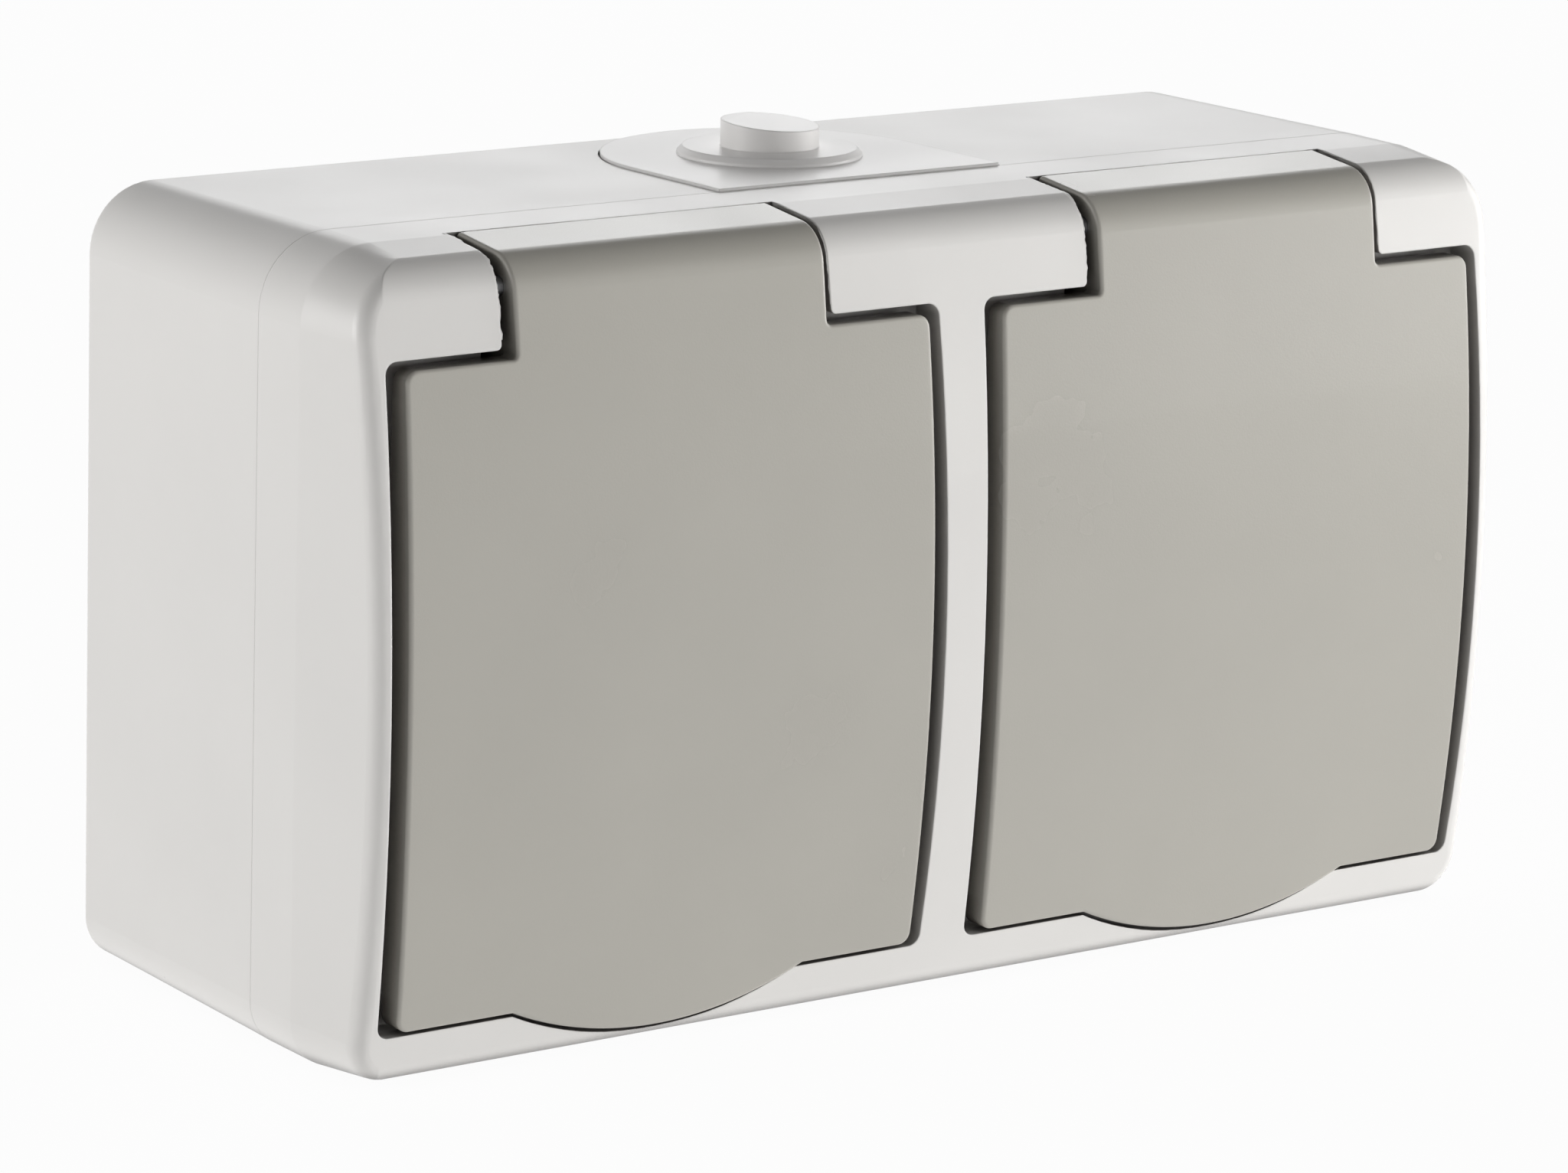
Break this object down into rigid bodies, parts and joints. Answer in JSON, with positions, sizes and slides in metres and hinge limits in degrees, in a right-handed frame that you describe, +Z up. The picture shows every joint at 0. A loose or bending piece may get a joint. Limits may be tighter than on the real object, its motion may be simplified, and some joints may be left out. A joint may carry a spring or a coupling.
{
  "type": "double wall socket",
  "caption": "Surface-mounted double wall socket in a light grey box with two sprung hinged lids and a cable entry on top.",
  "frame": {"origin": "centre of the flat back face of the box, on the wall", "axes": "+X to the right along the wall seen from the front, +Y into the wall, +Z up"},
  "size_m": [0.15, 0.0575, 0.0898],
  "materials": {
    "housing_plastic": "moulded light grey plastic, satin",
    "lid_plastic": "moulded warm grey plastic, finely textured",
    "face_plastic": "moulded light grey plastic",
    "base_plastic": "moulded thermoset, dull",
    "contact_brass": "stamped brass strip and drawn brass clamps",
    "zinc_steel": "zinc plated steel",
    "seal_rubber": "soft black elastomer"
  },
  "bodies": {
    "housing": {"back_box": "housing_plastic", "cable_entry_insert": "housing_plastic", "box_gasket": "seal_rubber", "front_cover": "housing_plastic", "face_screws": "zinc_steel", "base_screws": "zinc_steel", "terminal_screws": "zinc_steel", "left_hinge_pin": "zinc_steel", "left_lid_spring": "zinc_steel", "left_socket_face": "face_plastic", "left_socket_base": "base_plastic", "left_earth_clip": "contact_brass", "left_earth_clamp": "contact_brass", "left_live_contact": "contact_brass", "left_live_clamp": "contact_brass", "left_neutral_contact": "contact_brass", "left_neutral_clamp": "contact_brass", "right_hinge_pin": "zinc_steel", "right_lid_spring": "zinc_steel", "right_socket_face": "face_plastic", "right_socket_base": "base_plastic", "right_earth_clip": "contact_brass", "right_earth_clamp": "contact_brass", "right_live_contact": "contact_brass", "right_live_clamp": "contact_brass", "right_neutral_contact": "contact_brass", "right_neutral_clamp": "contact_brass"},
    "left_lid_body": {"left_lid": "lid_plastic", "left_lid_seal": "seal_rubber"},
    "right_lid_body": {"right_lid": "lid_plastic", "right_lid_seal": "seal_rubber"}
  },
  "joints": [
    {"name": "left_lid_hinge", "type": "hinge", "parent": "housing", "child": "left_lid_body", "pos_m": [-0.03725, -0.0512, 0.03889], "axis": [-1, 0, 0], "range_deg": [0, 100], "stiffness_Nm_per_rad": 0.012, "springref_deg": -51.57, "deforming": ["left_lid_spring"]},
    {"name": "right_lid_hinge", "type": "hinge", "parent": "housing", "child": "right_lid_body", "pos_m": [0.03725, -0.0512, 0.03889], "axis": [-1, 0, 0], "range_deg": [0, 100], "stiffness_Nm_per_rad": 0.012, "springref_deg": -51.57, "deforming": ["right_lid_spring"]}
  ]
}
